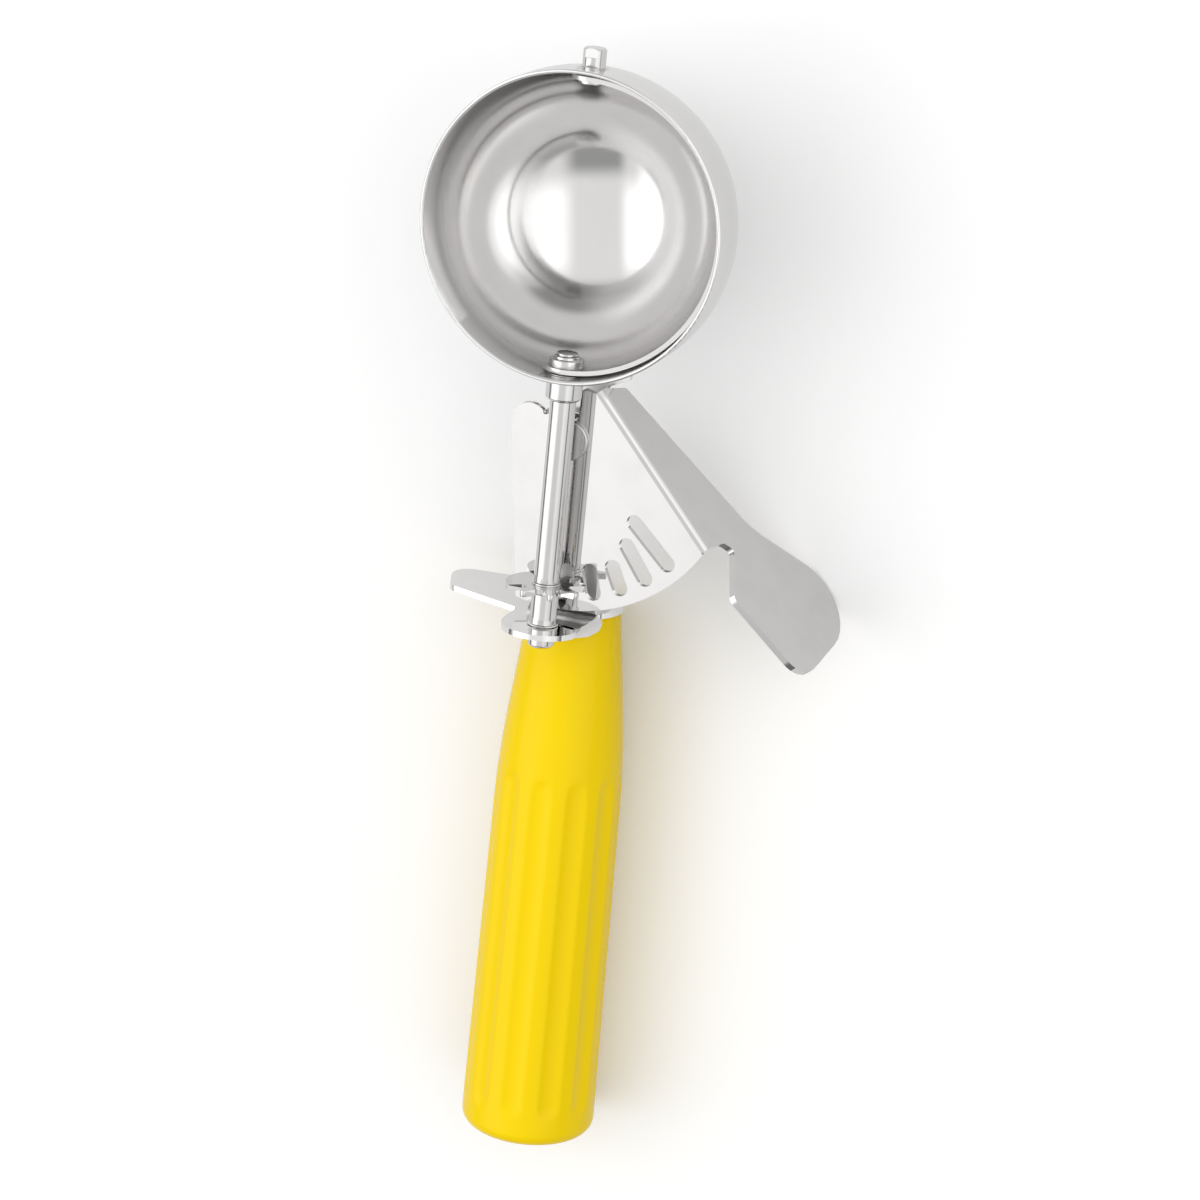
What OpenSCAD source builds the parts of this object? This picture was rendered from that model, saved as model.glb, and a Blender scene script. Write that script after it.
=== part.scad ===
// Lever ice cream scoop, lying on its back with the bowl's mouth up.
// +Y runs from the handle's butt to the bowl, +X is the thumb's side, +Z is out of the mouth.
// Origin: on the surface that the handle lies on, straight below the butt's centre.
// Most modules are drawn about the place where the shaft's axis passes through the pinion.

/* [Bowl] */
// Outer radius of the bowl
bowl_r = 27; // [24:0.5:32]
// Wall of the bowl
bowl_wall = 0.7; // [0.5:0.1:1.1]
// Straight wall between the shaft's axis and the rim
bowl_lip = 5.4; // [4:0.2:8]
// From the pinion to the bowl's near wall
bowl_rise = 38.1; // [37:0.5:46]

/* [Shaft] */
// Radius of the shaft
shaft_r = 2.3; // [2:0.1:2.5]
// Radius of the shaft's reduced ends
drive_r = 1.5; // [1.3:0.1:1.7]
// Wall of the bearing tube in the bowl's near wall
ferrule_wall = 0.85; // [0.7:0.05:1.2]
// Length of the bearing tube outside the bowl
ferrule_out = 3.9; // [2.5:0.1:4.5]
// Radius of the far pin where it turns in the bowl's wall
stub_r = 2; // [1.8:0.1:2.4]
// Length of the far pin outside the bowl
stub_out = 3.2; // [2:0.2:5]
// Height of the riveted head at the shaft's lower end
tail_h = 2.5; // [1.4:0.1:3]

/* [Blade] */
// Width of the sweeping blade
blade_w = 7; // [5.6:0.2:9]
// Thickness of the sweeping blade
blade_t = 0.8; // [0.5:0.1:1.2]
// Gap between the blade and the bowl
blade_gap = 0.4; // [0.3:0.05:0.8]
// Angle of the blade's front edge above the shaft's axis at rest
blade_lift = 4; // [0:1:8]
// Radius of the boss that holds the blade's lower end
hub_r = 3; // [2.6:0.1:3.6]
// Height of that boss
hub_h = 1.4; // [1:0.1:2.4]

/* [Pinion] */
// Places for a tooth in one full turn
tooth_places = 8; // [8:1:9]
// Thickness of the pinion
pinion_t = 1.1; // [0.9:0.05:1.4]
// From the pinion's place on the shaft to its upper face
pinion_top = 1; // [0.8:0.05:1.2]
// Width of a tooth at its root
tooth_root_w = 2.4; // [2:0.1:2.6]
// Width of a tooth at its tip
tooth_tip_w = 1.3; // [1:0.1:1.4]
// Reach of a tooth behind the toothed plate
tooth_poke = 0.45; // [0.2:0.05:0.5]
// Radius of the pinion between its teeth
root_r = 4.2; // [3.4:0.1:4.3]

/* [Thumb lever] */
// From the pinion to the lever's pivot
pivot_rise = 25.8; // [25.2:0.2:26.8]
// Turns of the blade for one turn of the lever
mesh_ratio = 4.25; // [4.15:0.05:4.35]
// Travel of the lever in degrees
lever_travel = 40; // [32:1:40]
// Thickness of the lever's sheet
lever_t = 1.2; // [1:0.1:1.4]
// Radius of the sector's toothed edge
sector_r = 30.7; // [30.2:0.1:31.4]
// Slots in the sector
slots = 6; // [6:1:6]
// Width of a slot
slot_w = 2.9; // [2.8:0.05:3]
// From a slot's outer end to the sector's edge
slot_margin = 1.8; // [1.2:0.1:2.2]
// Length of the shorter slots
slot_len = 6.7; // [6:0.1:7.4]
// Extra length of each of the last slots over the one before
slot_grow = 2.65; // [0:0.05:2.9]
// Angle of the first visible slot from the shaft at rest
slot_angle = 4.1; // [3.6:0.1:4.6]
// Angle between the sector and the flange that carries the thumb paddle
flange_bend = 77; // [70:1:84]
// Slope of the fold from the X axis
fold_slope = 48.6; // [46:0.2:50]
// Width of the flange at its narrow end
flange_w = 6.7; // [5.6:0.1:7.6]
// Growth of the flange's width for each millimetre of its length
flange_taper = 0.25; // [0.2:0.01:0.28]
// From the fold's start to the paddle's end
paddle_end = 61.4; // [58:0.2:64]
// Radius of the paddle's round corner
paddle_r = 9; // [7:0.2:10]
// Radius of the pivot rivet's shank
rivet_r = 2; // [1.7:0.1:2.2]
// Radius of the pivot rivet's flat head
rivet_head_r = 3.5; // [3.2:0.1:3.7]
// Height of the pivot rivet's flat head
rivet_head_h = 0.8; // [0.5:0.1:1.2]
// Radius of the return spring's wire
wire_r = 0.4; // [0.3:0.05:0.45]
// Turns of the return spring
spring_turns = 2; // [1:1:3]

/* [Frame] */
// Thickness of the frame's sheet
frame_t = 1; // [0.8:0.1:1.4]
// Width of the frame's web
web_w = 12.6; // [11.6:0.2:13]
// Width of the frame's head under the bowl
head_w = 17.6; // [14:0.2:18]
// From the pinion down to the finger plate
plate_drop = 6.45; // [6:0.05:8]
// Radius of the finger plate's eye around the shaft
eye_r = 6.95; // [6.6:0.05:7.4]
// Reach of the finger rest beside the shaft
rest_reach = 24.8; // [22:0.2:28]
// Breadth of the finger rest
rest_w = 12; // [11:0.5:13]
// From the shaft's axis to the lip along the plate's right edge
side_x = 6.8; // [6.6:0.05:7.2]
// Lean of that edge outwards in degrees
side_lean = 6; // [0:1:8]

/* [Handle] */
// Depth of the handle's axis below the shaft's axis
handle_drop = 17.5; // [16.5:0.5:19]
// Length of the handle
handle_len = 101.2; // [92:0.2:116]
// Radius of the handle's neck
neck_r = 8.25; // [7.4:0.05:9]
// Length of the handle's tapered neck
neck_len = 28.8; // [22:0.2:36]
// Radius of the handle at its shoulder
shoulder_r = 11.4; // [10.4:0.1:12.2]
// Radius of the handle near its butt
grip_r = 12.3; // [11.4:0.1:13.5]
// Rounding of the butt's edge
butt_round = 2.6; // [1:0.1:4]
// Number of flutes
flutes = 11; // [8:1:12]
// Width of a flute
flute_w = 3.6; // [2.6:0.1:4]
// Depth of a flute
flute_d = 0.55; // [0.3:0.05:0.7]
// Radius of the tang inside the handle
tang_r = 2.5; // [2.3:0.1:3]
// Radius of the tang's riveted neck
tang_neck_r = 2; // [1.6:0.1:2.2]
// Length of the tang inside the handle
tang_len = 78; // [40:1:82]

/* [Hidden] */
$fn = 64;
steel = "silver";
bright = "gainsboro";
yellow = "gold";

// Clearances
run_gap = 0.06;
face_gap = 0.1;
past = 1;
corner_step = 12;
bend_steps = 9;
bend_strip = 1;

// Bowl and shaft
bowl_in = bowl_r - bowl_wall;
bowl_y = bowl_rise + bowl_r;
ferrule_r = shaft_r + ferrule_wall;
ferrule_inset = 0.3;
ferrule_chamfer = 0.5;
blade_out = bowl_in - blade_gap;
blade_in = blade_out - blade_t;
blade_turn = asin(blade_w / 2 / blade_out) - blade_lift;
hub_y = bowl_y - sphere_drop(blade_in, hub_r);
hub_step = 0.3;
pin_head_r = 2.6;
pin_head_h = 0.7;
pin_head_y = bowl_y + sphere_drop(blade_in, pin_head_r);
stub_y = bowl_y + blade_out;
stub_end = bowl_y + bowl_r + stub_out;
stub_bevel = 0.3;
flat_cut = 0.35;
peen_h = 0.5;
peen_r = drive_r + 0.4;
shoulder_y = bowl_y - blade_out - face_gap / 2;
collar_h = 0.35;
collar_r = shaft_r + 0.25;
spacer_r = shaft_r + 0.1;
spacer_foot_r = spacer_r + 0.35;
spacer_foot_h = 0.3;
tail_r = 2.4;
tail_bevel = 0.5;

// Mesh of pinion and sector: the plate lies one pitch radius behind the shaft
slot_pitch = 360 / tooth_places / mesh_ratio;
pinion_bottom = pinion_top - pinion_t;
pinion_mid = pinion_top - pinion_t / 2;
plate_mid = (pivot_rise - pinion_mid) / mesh_ratio;
plate_front = plate_mid - lever_t / 2;
plate_back = plate_mid + lever_t / 2;
tooth_tip = plate_back + tooth_poke;
first_slot = slot_angle - slot_pitch;
plain_r = 7.1;
plain_gap = 0.3;
plain_reach = acos((plate_front - plain_gap) / plain_r);
plain_start = -plain_reach;
plain_spare = 15;
plain_end = plain_reach + plain_spare + mesh_ratio * lever_travel - 360;

// Thumb lever's outline
pivot = [0, pivot_rise];
lobe_at = pivot + [-7.65, 2.1];
lobe_r = 3.35;
strip_lean = 6.6;
notch_floor = pivot_rise + rivet_head_r + 0.4;
notch_right = 1.4;
notch_round = 0.7;
fold_at = pivot + [4.9, 9.75];
fold_dir = [cos(fold_slope), -sin(fold_slope)];
fold_out = [sin(fold_slope), cos(fold_slope)];
fold_reach = -(fold_at - pivot) * fold_dir
    + sqrt(sector_r ^ 2 - norm(fold_at - pivot) ^ 2 + ((fold_at - pivot) * fold_dir) ^ 2);
fold_in_r = 0.3;
fold_out_r = fold_in_r + lever_t;
setback = fold_out_r * tan(flange_bend / 2);
long_slots_from = 3;
lobe_cut = 0.5;
small_r = 0.8;

// Turns of the flange's outline, back from the paddle's end and off the flange's upper edge
flange_from = 1.9;
paddle_len = 26.9;
heel_drop = 0.5;
heel_r = 14;
toe_back = 3.3;
toe_rise = 16.5;
tip_drop = 12.4;
tip_r = 5;
belly_back = 18.7;
belly_drop = 16.4;
belly_r = 1.6;
step_back = 25.5;
step_drop = 8.4;
waist_drop = 9.8;

// Spring between the lever and the web
coil_r = 4.5;
coil_pitch = 2 * wire_r + 0.05;
coil_z = -plate_back - face_gap - wire_r;
coil_end = coil_z - spring_turns * coil_pitch;
coil_steps = 20;
wire_sides = 8;
leg_up = notch_floor + wire_r + face_gap;
leg_down = pivot_rise - 6;
leg_hook = 1.1;
bush_r = 3;
washer_r = 4;
washer_h = 0.8;
rivet_tail_r = 3;
rivet_tail_h = 1;

// Frame
web_front = -coil_end + wire_r + face_gap;
web_back = web_front + frame_t;
web_neck_w = 10;
web_neck_from = 2;
web_neck_to = 5;
web_neck_r = 4;
head_from = 2.6;
head_to = 1;
bend_in = 0.8;
foot_top = -plate_drop + frame_t;
foot_w = web_w;
foot_end = handle_drop + 5.6;
foot_r = 4;
plate_bottom = -plate_drop - frame_t;
plate_round_r = neck_r + 0.4;
eye_shift = 0.3;
side_join = [0.7, 0.6];
rest_lean = 0.8;
rest_bulge = 2;
rest_slant = 2.5;
rest_back_r = 3.4;
rest_end_r = 5;
rest_front_r = 2.4;
inner_corner = 6.6;
lip_in = 0.1;
lip_out = lip_in + frame_t;
lip_depth = lip_out + bend_strip;
lip_from = -1;
lip_to = 9.8;
lip_taper = 5.5;
spring_hole_r = wire_r + face_gap;

// Handle
handle_top = plate_bottom;
neck_round = 0.4;
shoulder_round = 40;
flute_start = neck_len + 3;
flute_stop = 8;
flute_cut_r = 1 / (8 * flute_d / flute_w ^ 2 - 1 / grip_r);
flute_phase = 3;
tang_head_r = 3.4;
tang_head_h = 1.3;
tang_bevel = 0.5;
pinion_y = handle_len - handle_top;
shaft_z = handle_drop + grip_r;

// Distance along the axis to a sphere's surface at radius r
function sphere_drop(ball, r) = sqrt(ball ^ 2 - r ^ 2);
function unit(v) = v / norm(v);
function xy(v) = [v.x, v.y];
function turned(a) = a > 180 ? a - 360 : a < -180 ? a + 360 : a;

// Points of the arc that rounds corner b between a and c
function corner(a, b, c, r) = r <= 0 ? [b] :
    let (
        u = unit(a - b),
        w = unit(c - b),
        half = acos(u * w) / 2,
        m = b + unit(u + w) * r / sin(half),
        p = b + u * r / tan(half) - m,
        q = b + w * r / tan(half) - m,
        start = atan2(p.y, p.x),
        sweep = turned(atan2(q.y, q.x) - start),
        n = max(2, ceil(abs(sweep) / corner_step))
    )
    [for (i = [0:n]) m + r * [cos(start + sweep * i / n), sin(start + sweep * i / n)]];

// Outline whose vertices are [x, y, rounding]
function rounded(v) = [
    for (i = [0:len(v) - 1])
        each corner(xy(v[(i + len(v) - 1) % len(v)]), xy(v[i]), xy(v[(i + 1) % len(v)]), v[i].z)
];

module place() {
    translate([0, pinion_y, shaft_z]) children();
}

module at_handle() {
    translate([0, pinion_y, shaft_z - handle_drop]) children();
}

// Turns a shape drawn up +Z so that it runs along +Y
module along_y() {
    rotate([-90, 0, 0]) children();
}

module rod(r, from, to) {
    along_y() translate([0, 0, from]) cylinder(r = r, h = to - from);
}

// Round rod with two flats, so that what sits on it can't turn
module flat_rod(r, from, to) {
    intersection() {
        rod(r, from, to);
        translate([-r + flat_cut, from, -r]) cube([2 * (r - flat_cut), to - from, 2 * r]);
    }
}

function bend_arc(r, angle) =
    [for (i = [0:bend_steps]) r * [sin(angle * i / bend_steps), cos(angle * i / bend_steps)]];

// Sheet of thickness t and width w that runs along +Y and bends down about the X axis
module sheet_bend(r_in, t, w, angle) {
    outer = bend_arc(r_in + t, angle);
    inner = bend_arc(r_in, angle);
    level = bend_strip * [-1, 0];
    down = bend_strip * [cos(angle), -sin(angle)];
    rotate([90, 0, 90]) linear_extrude(w) polygon([
        outer[0] + level,
        each outer,
        outer[bend_steps] + down,
        inner[bend_steps] + down,
        each [for (i = [bend_steps:-1:0]) inner[i]],
        inner[0] + level
    ]);
}

module bowl_profile(r, top) {
    intersection() {
        circle(r = r, $fn = 96);
        translate([0, -r]) square([r, r]);
    }
    square([r, top]);
}

module bowl() {
    color(bright) place() difference() {
        translate([0, bowl_y, 0]) rotate_extrude($fn = 96) {
            difference() {
                bowl_profile(bowl_r, bowl_lip);
                bowl_profile(bowl_in, bowl_lip + past);
            }
            translate([bowl_r - bowl_wall / 2, bowl_lip]) circle(r = bowl_wall / 2, $fn = 24);
        }
        rod(ferrule_r, bowl_rise - past, bowl_rise + bowl_r / 2);
        rod(stub_r + run_gap, bowl_y + bowl_r / 2, stub_end);
    }
}

module bowl_ferrule() {
    color(steel) place() along_y() rotate_extrude() polygon([
        [shaft_r + run_gap, bowl_rise - ferrule_out],
        [ferrule_r - ferrule_chamfer, bowl_rise - ferrule_out],
        [ferrule_r, bowl_rise - ferrule_out + ferrule_chamfer],
        [ferrule_r, bowl_rise + bowl_wall + ferrule_inset],
        [shaft_r + run_gap, bowl_rise + bowl_wall + ferrule_inset]
    ]);
}

module blade() {
    color(bright) place() rotate([0, blade_turn, 0]) difference() {
        translate([0, bowl_y, 0]) intersection() {
            difference() {
                sphere(r = blade_out);
                sphere(r = blade_in);
            }
            union() {
                translate([0, -bowl_r, -blade_w / 2]) cube([bowl_r, 2 * bowl_r, blade_w]);
                rod(blade_w / 2, -bowl_r, bowl_r);
            }
        }
        flat_rod(drive_r, bowl_rise, bowl_y);
        flat_rod(drive_r, bowl_y, stub_end);
    }
}

module blade_hub() {
    color(steel) place() rotate([0, blade_turn, 0]) difference() {
        union() {
            rod(hub_r, hub_y, hub_y + hub_h);
            rod(peen_r + hub_step, hub_y + hub_h, hub_y + hub_h + peen_h);
        }
        flat_rod(drive_r, bowl_rise, bowl_y);
    }
}

module blade_pin() {
    color(steel) place() rotate([0, blade_turn, 0]) difference() {
        union() {
            rod(pin_head_r, pin_head_y - pin_head_h, pin_head_y);
            flat_rod(drive_r, pin_head_y, stub_y);
            rod(stub_r, stub_y, stub_end - stub_bevel);
            along_y() translate([0, 0, stub_end - stub_bevel])
                cylinder(r1 = stub_r, r2 = stub_r - stub_bevel, h = stub_bevel);
        }
        rotate([0, -blade_turn, 0]) translate([-stub_r, stub_end - stub_out / 2, stub_r - flat_cut])
            cube([2 * stub_r, stub_out, stub_r]);
    }
}

module shaft() {
    color(bright) place() {
        rod(shaft_r, pinion_top + collar_h, shoulder_y);
        rotate([0, blade_turn, 0]) flat_rod(drive_r, shoulder_y, hub_y + hub_h + peen_h);
        rod(peen_r, hub_y + hub_h + peen_h, hub_y + hub_h + 2 * peen_h);
        flat_rod(drive_r, plate_bottom - face_gap, pinion_top + collar_h);
        along_y() rotate_extrude() polygon([
            [0, plate_bottom - face_gap],
            [tail_r - tail_bevel, plate_bottom - face_gap],
            [tail_r, plate_bottom - face_gap - tail_bevel],
            [tail_r, plate_bottom - tail_h],
            [tail_r - tail_bevel, plate_bottom - tail_h - tail_bevel],
            [0, plate_bottom - tail_h - tail_bevel]
        ]);
    }
}

module shaft_collar() {
    color(steel) place() difference() {
        rod(collar_r, pinion_top, pinion_top + collar_h);
        flat_rod(drive_r, pinion_top - past, pinion_top + collar_h + past);
    }
}

// Tooth that points back, towards the sector plate
module tooth() {
    tip_at = tooth_tip - tooth_tip_w / 2;
    polygon([
        [-tooth_root_w / 2, root_r - past], [tooth_root_w / 2, root_r - past],
        [tooth_tip_w / 2, tip_at], [-tooth_tip_w / 2, tip_at]
    ]);
    translate([0, tip_at]) circle(r = tooth_tip_w / 2, $fn = 24);
}

// Part of a disc between two angles from the Y axis
module disc_part(r, from, to) {
    middle = (from + to) / 2;
    intersection() {
        circle(r = r);
        polygon([
            [0, 0],
            for (a = [from, middle, to]) 2 * r * [sin(a), cos(a)]
        ]);
    }
}

module pinion() {
    color(bright) place() difference() {
        along_y() translate([0, 0, pinion_bottom]) linear_extrude(pinion_t) {
            circle(r = root_r);
            for (i = [0:slots - 1])
                rotate([0, 0, -mesh_ratio * (first_slot + i * slot_pitch)]) tooth();
            disc_part(plain_r, plain_start, plain_end);
        }
        flat_rod(drive_r, pinion_bottom - past, pinion_top + past);
    }
}

module pinion_spacer() {
    color(steel) place() difference() {
        union() {
            rod(spacer_r, plate_bottom - face_gap / 2, pinion_bottom);
            rod(spacer_foot_r, face_gap - plate_drop, face_gap - plate_drop + spacer_foot_h);
        }
        rod(drive_r, plate_bottom - past, pinion_top);
    }
}

module slot(length) {
    far = sector_r - slot_margin - slot_w / 2;
    near = far - length + slot_w;
    translate([-slot_w / 2, -far]) square([slot_w, far - near]);
    translate([0, -far]) circle(r = slot_w / 2, $fn = 32);
    translate([0, -near]) circle(r = slot_w / 2, $fn = 32);
}

module sector_outline() {
    lean = [sin(strip_lean), -cos(strip_lean)];
    left = lobe_at + lobe_r * [-cos(strip_lean), -sin(strip_lean)];
    fold_start = fold_at - setback * fold_out;
    intersection() {
        translate(pivot) circle(r = sector_r, $fn = 128);
        polygon(rounded([
            [left.x, left.y, 0],
            [lobe_at.x, lobe_at.y, 0],
            [lobe_at.x + lobe_r - lobe_cut, notch_floor, 0],
            [notch_right, notch_floor, notch_round],
            [notch_right, fold_start.y + notch_round, notch_round],
            [fold_start.x, fold_start.y, 0],
            each [for (p = [fold_start + (fold_reach + past) * fold_dir]) [p.x, p.y, 0]],
            [sector_r / 2, pivot_rise - sector_r - past, 0],
            each [for (p = [left + 2 * sector_r * lean]) [p.x, p.y, 0]]
        ]));
    }
    translate(lobe_at) circle(r = lobe_r);
}

// Flange and paddle, x along the fold and y across it
module flange_outline() {
    heel = paddle_end - paddle_len;
    widen = flange_w + flange_taper * heel;
    polygon(rounded([
        [0, setback, 0],
        [flange_from, flange_w, small_r],
        [heel, widen - heel_drop, heel_r],
        [paddle_end - toe_back, widen + toe_rise, paddle_r],
        [paddle_end, widen - tip_drop, tip_r],
        [paddle_end - belly_back, widen - belly_drop, belly_r],
        [paddle_end - step_back, widen - step_drop, small_r],
        [fold_reach + small_r, widen - waist_drop, belly_r],
        [fold_reach, setback, 0]
    ]));
}

module thumb_lever() {
    color(bright) place() {
        translate([0, 0, -plate_back]) linear_extrude(lever_t) difference() {
            sector_outline();
            translate(pivot) circle(r = rivet_r + run_gap);
            for (i = [0:slots - 1])
                translate(pivot) rotate(first_slot + i * slot_pitch)
                    slot(slot_len + slot_grow * max(0, i - long_slots_from));
        }
        translate([fold_at.x, fold_at.y, -plate_front]) rotate([0, 0, -fold_slope]) {
            translate([0, -setback, -fold_out_r]) sheet_bend(fold_in_r, lever_t, fold_reach, flange_bend);
            rotate([-flange_bend, 0, 0]) translate([0, 0, -lever_t])
                linear_extrude(lever_t) flange_outline();
        }
    }
}

module pivot_rivet() {
    bottom = web_back + washer_h;
    color(steel) place() translate([pivot.x, pivot.y, 0]) {
        translate([0, 0, -plate_front + run_gap]) cylinder(r = rivet_head_r, h = rivet_head_h);
        translate([0, 0, -bottom]) cylinder(r = rivet_r, h = bottom - plate_front + run_gap);
        translate([0, 0, -bottom - rivet_tail_h])
            cylinder(r1 = rivet_tail_r - rivet_tail_h / 2, r2 = rivet_tail_r, h = rivet_tail_h);
    }
}

module ring_at_pivot(r_out, r_in, from, to) {
    translate([pivot.x, pivot.y, from]) difference() {
        cylinder(r = r_out, h = to - from);
        translate([0, 0, -past]) cylinder(r = r_in, h = to - from + 2 * past);
    }
}

module pivot_bush() {
    color(steel) place() ring_at_pivot(bush_r, rivet_r, -web_front, -plate_back - run_gap);
}

module pivot_washer() {
    color(steel) place() ring_at_pivot(washer_r, rivet_r, -web_back - washer_h, -web_back);
}

// Wire along a path of points, with its ring of sides square to the path
function wire_side(path, i) =
    unit(path[min(i + 1, len(path) - 1)] - path[max(i - 1, 0)]);
function wire_ring(at, run) =
    let (
        up = abs(run.z) > 0.9 ? [1, 0, 0] : [0, 0, 1],
        u = unit(cross(run, up)),
        w = cross(u, run)
    )
    [for (k = [0:wire_sides - 1])
        at + wire_r * (u * cos(360 * k / wire_sides) + w * sin(360 * k / wire_sides))];

module wire(path) {
    last = len(path) - 1;
    points = [for (i = [0:last]) each wire_ring(path[i], wire_side(path, i))];
    walls = [
        for (i = [0:last - 1], k = [0:wire_sides - 1])
            let (n = (k + 1) % wire_sides, a = i * wire_sides, b = a + wire_sides)
            [a + k, a + n, b + n, b + k]
    ];
    start_cap = [for (k = [0:wire_sides - 1]) wire_sides - 1 - k];
    end_cap = [for (k = [0:wire_sides - 1]) last * wire_sides + k];
    polyhedron(points, concat([start_cap], walls, [end_cap]));
}

module return_spring() {
    turns = spring_turns * coil_steps;
    coil = [
        for (i = [0:turns])
            let (a = 180 + 360 * i / coil_steps)
            [coil_r * cos(a), pivot_rise + coil_r * sin(a), coil_z - coil_pitch * i / coil_steps]
    ];
    color(steel) place() wire(coil);
    color(steel) place() translate([-coil_r, pivot_rise, coil_z])
        rod(wire_r, 0, leg_up - pivot_rise);
    color(steel) place() translate([-coil_r, leg_up, coil_z]) sphere(r = wire_r, $fn = 24);
    color(steel) place() translate([-coil_r, leg_up, coil_z])
        cylinder(r = wire_r, h = -plate_front + leg_hook - coil_z);
    color(steel) place() translate([-coil_r, leg_down, coil_end]) rod(wire_r, 0, pivot_rise - leg_down);
    color(steel) place() translate([-coil_r, leg_down, coil_end]) sphere(r = wire_r, $fn = 24);
    color(steel) place() translate([-coil_r, leg_down, -web_back])
        cylinder(r = wire_r, h = web_back + coil_end);
}

module web_outline() {
    half = [
        [web_w / 2, foot_top + bend_in, 0],
        [web_w / 2, pivot_rise - web_neck_from, web_neck_r],
        [web_neck_w / 2, bowl_rise - web_neck_to, web_neck_r],
        [web_neck_w / 2, bowl_rise - head_from, small_r],
        [head_w / 2, bowl_rise - head_to, small_r],
        [head_w / 2, bowl_rise + bowl_r / 2, 0]
    ];
    polygon(rounded(concat(half, [for (i = [len(half) - 1:-1:0]) [-half[i].x, half[i].y, half[i].z]])));
}

module frame_web() {
    color(steel) place() {
        difference() {
            translate([0, 0, -web_back]) linear_extrude(frame_t) difference() {
                web_outline();
                translate(pivot) circle(r = rivet_r);
                translate([-coil_r, leg_down]) circle(r = spring_hole_r, $fn = 24);
            }
            translate([0, bowl_y, 0]) sphere(r = bowl_r, $fn = 96);
        }
        translate([-web_w / 2, foot_top + bend_in, -web_back - bend_in])
            mirror([0, 1, 0]) sheet_bend(bend_in, frame_t, web_w, 90);
        along_y() translate([0, 0, -plate_drop]) linear_extrude(frame_t) difference() {
            polygon(rounded([
                [-foot_w / 2, web_back + bend_in, 0],
                [foot_w / 2, web_back + bend_in, 0],
                [foot_w / 2, foot_end, foot_r],
                [-foot_w / 2, foot_end, foot_r]
            ]));
            translate([0, handle_drop]) circle(r = tang_neck_r);
        }
    }
}

// Point of the finger plate in the frame of its right edge
function side(x, run) = [
    side_x + x * cos(side_lean) + run * sin(side_lean),
    run * cos(side_lean) - x * sin(side_lean)
];

module finger_outline() {
    front = handle_drop - rest_w / 2;
    back = handle_drop + rest_w / 2;
    difference() {
        translate([-eye_shift, 0]) circle(r = eye_r);
        translate([side_x, 0]) rotate(-side_lean) translate([-lip_out, lip_from]) square(eye_r);
    }
    translate([0, handle_drop]) circle(r = plate_round_r);
    polygon(rounded([
        [0, 0, 0],
        [each side(-lip_out, lip_from), 0],
        [each side(-lip_out, lip_to), 0],
        [plate_round_r * side_join.x, handle_drop - plate_round_r * side_join.y, 0],
        [plate_round_r / 2, handle_drop, 0],
        [0, handle_drop + plate_round_r, 0],
        [rest_lean - rest_reach, back, rest_back_r],
        [-rest_reach, handle_drop + rest_bulge, rest_end_r],
        [rest_slant - rest_reach, front + rest_lean, rest_front_r],
        [-eye_shift - eye_r, inner_corner, small_r],
        [-eye_shift - eye_r, 0, 0]
    ]));
}

// Lip turned down along the plate's right edge, deepest near its back end
module lip() {
    translate([side_x, 0, -plate_drop]) rotate([0, 0, -side_lean]) intersection() {
        translate([-lip_out, lip_to + past, -lip_out]) rotate([0, 0, -90])
            sheet_bend(lip_in, frame_t, lip_to - lip_from + 2 * past, 90);
        translate([-eye_r, 0, 0]) rotate([90, 0, 90]) linear_extrude(2 * eye_r) polygon([
            [lip_from, past],
            [lip_to, past],
            [lip_to, -frame_t],
            [lip_to - frame_t, -lip_depth],
            [lip_to - lip_taper, -lip_depth],
            [lip_from, -frame_t]
        ]);
    }
}

module finger_plate() {
    color(steel) place() along_y() difference() {
        union() {
            translate([0, 0, plate_bottom]) linear_extrude(frame_t) finger_outline();
            lip();
        }
        translate([0, 0, plate_bottom - past]) cylinder(r = spacer_r + run_gap, h = frame_t + 2 * past);
        translate([0, handle_drop, plate_bottom - past]) cylinder(r = tang_neck_r, h = frame_t + 2 * past);
    }
}

module tang() {
    color(steel) at_handle() {
        rod(tang_r, handle_top - tang_len, handle_top);
        rod(tang_neck_r, handle_top, foot_top);
        along_y() translate([0, 0, foot_top]) rotate_extrude() polygon(rounded([
            [0, 0, 0], [tang_head_r, 0, 0], [tang_head_r, tang_head_h, tang_bevel], [0, tang_head_h, 0]
        ]));
    }
}

module flute() {
    lean = atan((grip_r - shoulder_r) / (handle_len - neck_len));
    depth = shoulder_r + flute_cut_r - flute_d;
    length = handle_len - flute_start - flute_stop;
    translate([0, depth, flute_start]) rotate([-lean, 0, 0]) {
        cylinder(r = flute_cut_r, h = length, $fn = 48);
        sphere(r = flute_cut_r, $fn = 48);
        translate([0, 0, length]) sphere(r = flute_cut_r, $fn = 48);
    }
}

// Handle drawn from its top down +Z
module handle_body() {
    difference() {
        rotate_extrude() polygon(rounded([
            [0, 0, 0],
            [neck_r, 0, neck_round],
            [shoulder_r, neck_len, shoulder_round],
            [grip_r, handle_len, butt_round],
            [0, handle_len, 0]
        ]));
        translate([0, 0, -past]) cylinder(r = tang_r, h = tang_len + past);
        for (i = [0:flutes - 1])
            rotate([0, 0, flute_phase + 360 * i / flutes]) flute();
    }
}

module handle() {
    color(yellow) at_handle() translate([0, handle_top, 0]) rotate([90, 0, 0]) handle_body();
}

bowl();
bowl_ferrule();
blade();
blade_hub();
blade_pin();
shaft();
shaft_collar();
pinion();
pinion_spacer();
thumb_lever();
pivot_rivet();
pivot_bush();
pivot_washer();
return_spring();
frame_web();
finger_plate();
tang();
handle();
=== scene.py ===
"""Lever ice cream scoop lying on a pale studio floor, bowl up."""

import math

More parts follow.
